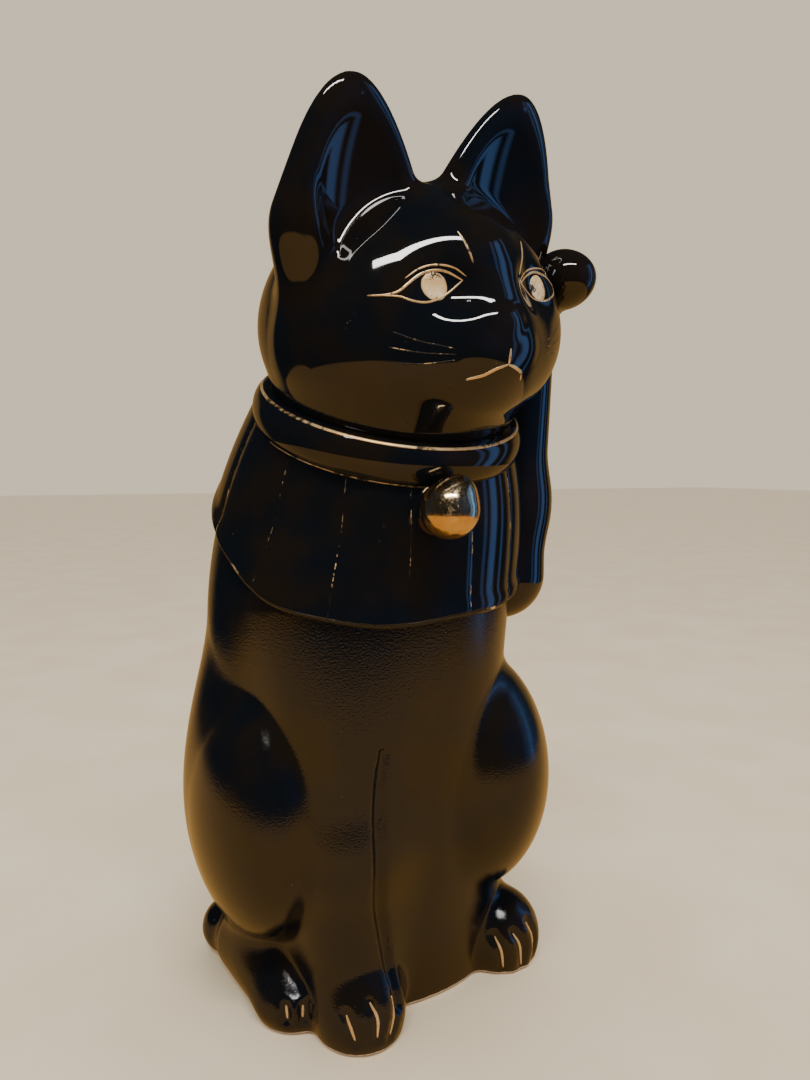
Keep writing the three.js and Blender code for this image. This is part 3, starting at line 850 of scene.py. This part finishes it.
def make_bell():
    ball = ellipsoid(BELL_CENTRE, (BELL_RADIUS,) * 3)
    crown = BELL_CENTRE + np.array((2.4, -1.2, BELL_RADIUS - 3.5))
    form = blend(3, ball, ellipsoid(crown, (4.6, 4.2, 4.4)))
    piece = skin("bell_ball", form, BELL_CENTRE - 12, BELL_CENTRE + 12, BELL_VOXEL)
    gilt = worn_gilt("bell_gilt", 0.14, 900, deep=0.3, rough=(0.10, 0.24), metal=1.0)
    finish_piece(piece, gilt, "gilt", "bell")


# ------------------------------------------------------------------ gilding
def face_points(form, places):
    """Points on the face, from x to the cat's left and z upwards in the head's axes."""
    places = np.array(places, float)
    start = np.stack([places[:, 0], np.full(len(places), -70.0), places[:, 1]], -1)
    forward = np.array((0.0, 1.0, 0.0)) @ HEAD_BASIS.T
    return cast(form, start @ HEAD_BASIS.T + HEAD_CENTRE, forward, 90)


# the gilt lines of both eyes and brows: places and half width
EYE_LINES = (
    (((-37.0, 5.2), (-33.5, 5.1), (-30.5, 5.8), (-28.0, 7.5), (-24.0, 10.0), (-20.3, 10.9),
      (-16.8, 10.3), (-12.9, 8.0)), 0.40),
    (((-28.1, 9.1), (-23.7, 11.6), (-19.3, 12.3), (-15.1, 11.3), (-12.1, 9.0)), 0.28),
    (((-34.5, 5.0), (-30.7, 4.5), (-28.1, 3.3), (-24.3, 2.6), (-19.9, 3.5), (-16.0, 5.5),
      (-12.9, 8.0)), 0.34),
    (((-12.1, 21.0), (-11.4, 17.5), (-10.5, 12.4)), 0.36),
    (((35.0, 6.6), (30.5, 7.6), (27.0, 9.0), (23.3, 10.0), (18.3, 10.5), (13.2, 9.0), (9.6, 7.2)), 0.40),
    (((28.0, 10.6), (24.7, 11.6), (18.5, 11.6), (13.4, 10.4), (8.3, 7.7)), 0.28),
    (((33.0, 6.4), (28.5, 4.0), (22.5, 2.2), (16.4, 2.7), (13.0, 5.0), (9.6, 7.2)), 0.34),
    (((16.1, 19.5), (12.0, 14.2), (8.0, 9.3)), 0.36),
)
MOUTH = (((-16.6, -18.5), (-12.4, -17.7), (-8.6, -16.1), (-4.9, -15.2)),
         ((-4.9, -15.2), (-2.0, -16.2), (1.3, -17.9), (2.2, -20.0)))
PHILTRUM = ((-4.7, -11.0), (-4.8, -15.2))
WHISKERS = (((-20, -10.0), (-28, -7.5), (-34, -4.5)), ((-20, -11.5), (-28, -10.5), (-35, -8.5)),
            ((-20, -13.0), (-28, -13.5), (-34, -12.8)))
IRISES = (((-20.7, 6.7), (3.7, 3.8)), ((19.6, 5.9), (3.9, 3.8)))      # places and half sizes
HEM_END = 140.0                      # the hem line stops this many degrees round the body


def mirrored(places):
    """The same places on the face's other side."""
    return [(2 * FACE_X - x, z) for x, z in places]


def make_face_lines():
    lines = Relief(HEAD)
    for places, half_width in EYE_LINES:
        lines.line(face_points(HEAD, smooth_path(places, 40)), half_width)
    for places in MOUTH:
        lines.line(face_points(HEAD, smooth_path(places, 32)), 0.5)
    lines.line(face_points(HEAD, smooth_path(PHILTRUM, 16)), 0.45)
    finish_piece(lines.make("gilt_face_lines"), worn_gilt("gilt_brushed", 0.36, 1100), "gilt")


def make_whiskers():
    lines = Relief(HEAD)
    for places in WHISKERS:
        for side in (places, mirrored(places)):
            lines.line(face_points(HEAD, smooth_path(side, 28)), 0.16, height=0.04)
    finish_piece(lines.make("whisker_lines"), worn_gilt("gilt_nearly_gone", 0.68, 1600), "gilt")


def make_irises():
    discs = Relief(HEAD)
    for (x, z), (half_width, half_height) in IRISES:
        def place(r, angle):
            spots = np.stack([x + half_width * r * np.cos(angle), z + half_height * r * np.sin(angle)], -1)
            return face_points(HEAD, spots)
        discs.disc(place)
    gilt = worn_gilt("gilt_iris", 0.40, 1500, deep=0.3, rough=(0.35, 0.55), metal=0.25)
    finish_piece(discs.make("gilt_irises"), gilt, "gilt")


def make_claw_lines():
    lines = Relief(BODY)
    for paw, line in CLAW_LINES:
        way = aim(*smooth_path(line, 24).T)
        centre = np.array(paw[0], float)
        lines.line(cast(BODY, centre + way * 24, -way, 24), 0.55, height=0.28)
    finish_piece(lines.make("gilt_claw_lines"), worn_gilt("gilt_claws", 0.12, 700), "gilt")


def onto_bib(angle, z):
    """Points on the bib at angles round the body and heights."""
    angle, z = np.broadcast_arrays(angle, z)
    outward = np.stack([np.sin(angle), -np.cos(angle), 0 * angle], -1)
    start = np.stack([0 * z + SPINE_X, spine_y(z), z], -1) + outward * 75
    return cast(BIB, start, -outward, 75)


def make_pleat_lines():
    lines = Relief(BIB)
    for pleat in range(-5, 5):
        angle = (2 * pleat + 1) * np.pi / BIB_PLEATS
        collar_drop = COLLAR_RADII[1] * np.sin(np.radians(COLLAR_TILT)) * np.cos(angle)
        z = np.linspace(COLLAR_CENTRE[2] - collar_drop - 3, hem_height(angle) + 0.5, 60)
        lines.line(onto_bib(angle, z), 0.32, height=0.08, taper=0.5)
    finish_piece(lines.make("gilt_pleat_lines"), worn_gilt("gilt_pleats", 0.56, 500), "gilt")


def make_hem_line():
    lines = Relief(BIB)
    angle = np.linspace(-np.radians(HEM_END), np.radians(HEM_END), 260)
    lines.line(onto_bib(angle, hem_height(angle) + 1.2), 0.5, height=0.08, taper=0.8)
    finish_piece(lines.make("gilt_hem_line"), worn_gilt("gilt_hem", 0.74, 260), "gilt")


def make_collar_lines():
    lines = Relief(COLLAR)
    angle = np.linspace(-np.pi * 0.96, np.pi * 0.96, 320)
    for place_round_roll in (62, -58):
        section = np.radians(place_round_roll)
        out = COLLAR_SECTION[0] * np.cos(section) + 3
        up = COLLAR_SECTION[1] * np.sin(section) + 3 * np.sin(section)
        q = np.stack([(COLLAR_RADII[0] + out) * np.sin(angle), -(COLLAR_RADII[1] + out) * np.cos(angle),
                      np.full_like(angle, up)], -1)
        path = settle(COLLAR, q @ COLLAR_BASIS.T + COLLAR_CENTRE, 12)
        lines.line(path, 0.5, height=0.1, taper=0.8)
    finish_piece(lines.make("gilt_collar_lines"), worn_gilt("gilt_collar", 0.42, 600), "gilt")


for make_piece in (make_body, make_head, make_arm, make_collar, make_bow, make_bib, make_bell,
                   make_face_lines, make_whiskers, make_irises, make_claw_lines, make_pleat_lines,
                   make_hem_line, make_collar_lines):
    make_piece()


# ------------------------------------------------------------------ stage, light and camera
FLOOR_PALE = (0.82, 0.71, 0.53)
FLOOR_WARM = (0.78, 0.66, 0.47)
BACKDROP = (0.85, 0.735, 0.55)       # the studio's far wall, close to the floor's own brightness
WARM_BOUNCE = (0.52, 0.28, 0.06)     # the warm sheet under the cat, as the glaze mirrors it
CLOTH_HALF_WIDTH = 0.5               # metres across the view, and towards the camera
CLOTH_FRONT = 0.42
FLOOR_REACH = 6.0
FLOOR_Z = -0.0002
WINDOW_BLUE = (0.16, 0.40, 1.0)
SKY_BLUE = (0.10, 0.22, 0.75)
ROOM = (0.45, 0.62, 0.85)
ROOM_STRENGTH = 0.03
FILL = (0.74, 0.70, 0.64)
FILL_STRENGTH = 1.4
# what the glaze mirrors: azimuth and elevation, half width and height and edge in tangents; colour; strength
WINDOWS = (
    ((62, 8, 0.045, 0.60, 0.04), WINDOW_BLUE, 0.8),
    ((76, 6, 0.10, 0.62, 0.05), WINDOW_BLUE, 1.3),
    ((93, 6, 0.03, 0.60, 0.04), WINDOW_BLUE, 0.8),
    ((40, 10, 0.5, 0.5, 0.45), SKY_BLUE, 0.12),
    ((156, 4, 1.15, 0.42, 0.2), WARM_BOUNCE, 0.75),
)
LIGHT_TARGET = np.array((0.0, 0.0, 0.2))
CAMERA_PLACE = (-0.1111, -0.258, 0.184)
CAMERA_TIP = 85.0
CAMERA_TURN = 24.5
CAMERA_LENS = 27.03


def make_floor():
    """A plain pale floor. The glaze mirrors it as a warm sheet that ends not far from the cat, with the
    room beyond.
    """
    mesh = bpy.data.meshes.new("studio_floor")
    corners = [(x * FLOOR_REACH, y * FLOOR_REACH, FLOOR_Z) for x, y in ((-1, -1), (1, -1), (1, 1), (-1, 1))]
    mesh.from_pydata(corners, [], [(0, 1, 2, 3)])
    floor = bpy.data.objects.new("studio_floor", mesh)
    bpy.context.scene.collection.objects.link(floor)
    graph = Graph("floor_paper", Roughness=0.75)
    paper = graph.mix(graph.remap(graph.noise(14, 4), 0.3, 0.7), FLOOR_PALE, FLOOR_WARM)
    turned = graph.node("ShaderNodeMapping", [("Vector", graph.place)])
    turned.inputs["Rotation"].default_value = (0, 0, np.radians(CAMERA_TURN))
    spot = graph.node("ShaderNodeSeparateXYZ", [("Vector", turned.outputs["Vector"])])
    across = graph.math("DIVIDE", graph.math("ABSOLUTE", spot.outputs["X"]), CLOTH_HALF_WIDTH)
    forward = graph.math("MAXIMUM", graph.math("MULTIPLY", spot.outputs["Y"], -1.0 / CLOTH_FRONT), 0.0)
    oval = graph.math("ADD", graph.math("POWER", across, 2.0), graph.math("POWER", forward, 2.0))
    beyond = graph.remap(oval, 0.92, 1.12)
    mirrored_ray = graph.node("ShaderNodeLightPath").outputs["Is Glossy Ray"]
    paper = graph.mix(mirrored_ray, paper, WARM_BOUNCE)
    material = graph.send(Base_Color=paper, Normal=graph.bump(graph.noise(900, 3), 4.0e-5))
    open_air = graph.node("ShaderNodeBsdfTransparent")
    ending = graph.node("ShaderNodeMixShader", [("Fac", graph.math("MULTIPLY", beyond, mirrored_ray))])
    graph.tree.links.new(graph.shader.outputs["BSDF"], ending.inputs[1])
    graph.tree.links.new(open_air.outputs["BSDF"], ending.inputs[2])
    graph.tree.links.new(ending.outputs["Shader"], graph.tree.nodes["Material Output"].inputs["Surface"])
    mesh.materials.append(material)


def right_and_up(facing):
    """The level direction to the right of where one faces, and the upward one."""
    right = np.cross(facing, (0, 0, 1))
    right /= np.linalg.norm(right)
    return right, np.cross(right, facing)


def soft_window(tree, direction, azimuth, elevation, half_width, half_height, edge):
    """A soft-edged rectangle of light far away, as a 0 to 1 mask over world directions."""
    facing = aim(azimuth, elevation)
    right, up = right_and_up(facing)

    def dot(axis):
        made = tree.nodes.new("ShaderNodeVectorMath")
        made.operation = "DOT_PRODUCT"
        tree.links.new(direction, made.inputs[0])
        made.inputs[1].default_value = axis
        return made.outputs["Value"]

    depth = math_node(tree, "MAXIMUM", dot(facing), 0.02)
    masks = []
    for axis, half in ((right, half_width), (up, half_height)):
        offset = math_node(tree, "ABSOLUTE", math_node(tree, "DIVIDE", dot(axis), depth))
        masks.append(remap_node(tree, offset, half - edge, half + edge, 1, 0))
    return math_node(tree, "MULTIPLY", *masks)


def background(tree, colour, strength=1.0):
    made = tree.nodes.new("ShaderNodeBackground")
    made.inputs["Color"].default_value = (*colour, 1)
    made.inputs["Strength"].default_value = strength
    return made


def make_world():
    """Pale for the camera and for soft fill; in reflections a dim room with bluish windows."""
    world = bpy.data.worlds.new("studio")
    bpy.context.scene.world = world
    world.use_nodes = True
    tree = world.node_tree
    direction = tree.nodes.new("ShaderNodeTexCoord").outputs["Generated"]
    path = tree.nodes.new("ShaderNodeLightPath")
    shine = background(tree, ROOM, ROOM_STRENGTH).outputs["Background"]
    for place, colour, strength in WINDOWS:
        glow = background(tree, colour)
        power = math_node(tree, "MULTIPLY", soft_window(tree, direction, *place), strength)
        tree.links.new(power, glow.inputs["Strength"])
        add = tree.nodes.new("ShaderNodeAddShader")
        tree.links.new(shine, add.inputs[0])
        tree.links.new(glow.outputs["Background"], add.inputs[1])
        shine = add.outputs["Shader"]
    shown = background(tree, FILL, FILL_STRENGTH).outputs["Background"]
    wall = background(tree, BACKDROP).outputs["Background"]
    for ray, source in (("Is Glossy Ray", shine), ("Is Camera Ray", wall)):
        mix = tree.nodes.new("ShaderNodeMixShader")
        tree.links.new(path.outputs[ray], mix.inputs["Fac"])
        tree.links.new(shown, mix.inputs[1])
        tree.links.new(source, mix.inputs[2])
        shown = mix.outputs["Shader"]
    tree.links.new(shown, tree.nodes["World Output"].inputs["Surface"])


def area_light(name, azimuth, elevation, distance, size, power, colour):
    """A soft box that looks at the cat's head from a direction round the figure."""
    towards_light = aim(azimuth, elevation)
    lamp = bpy.data.lights.new(name, "AREA")
    lamp.shape = "RECTANGLE"
    lamp.size, lamp.size_y = size
    lamp.energy = power
    lamp.color = colour
    light = bpy.data.objects.new(name, lamp)
    light.location = LIGHT_TARGET + towards_light * distance
    right, up = right_and_up(-towards_light)
    light.rotation_mode = "QUATERNION"
    basis = np.stack([right, up, towards_light], 1)
    light.rotation_quaternion = Matrix(basis.tolist()).to_quaternion()
    light.visible_camera = False
    bpy.context.scene.collection.objects.link(light)


def make_camera():
    camera = bpy.data.cameras.new("camera")
    camera.sensor_width = 36
    camera.lens = CAMERA_LENS
    eye = bpy.data.objects.new("camera", camera)
    eye.location = CAMERA_PLACE
    eye.rotation_euler = np.radians((CAMERA_TIP, 0, -CAMERA_TURN))
    bpy.context.scene.collection.objects.link(eye)
    bpy.context.scene.camera = eye


make_floor()
make_world()
area_light("ceiling_tube", -20, 53, 1.0, (0.66, 0.08), 7.5, (1.0, 0.98, 0.94))
make_camera()
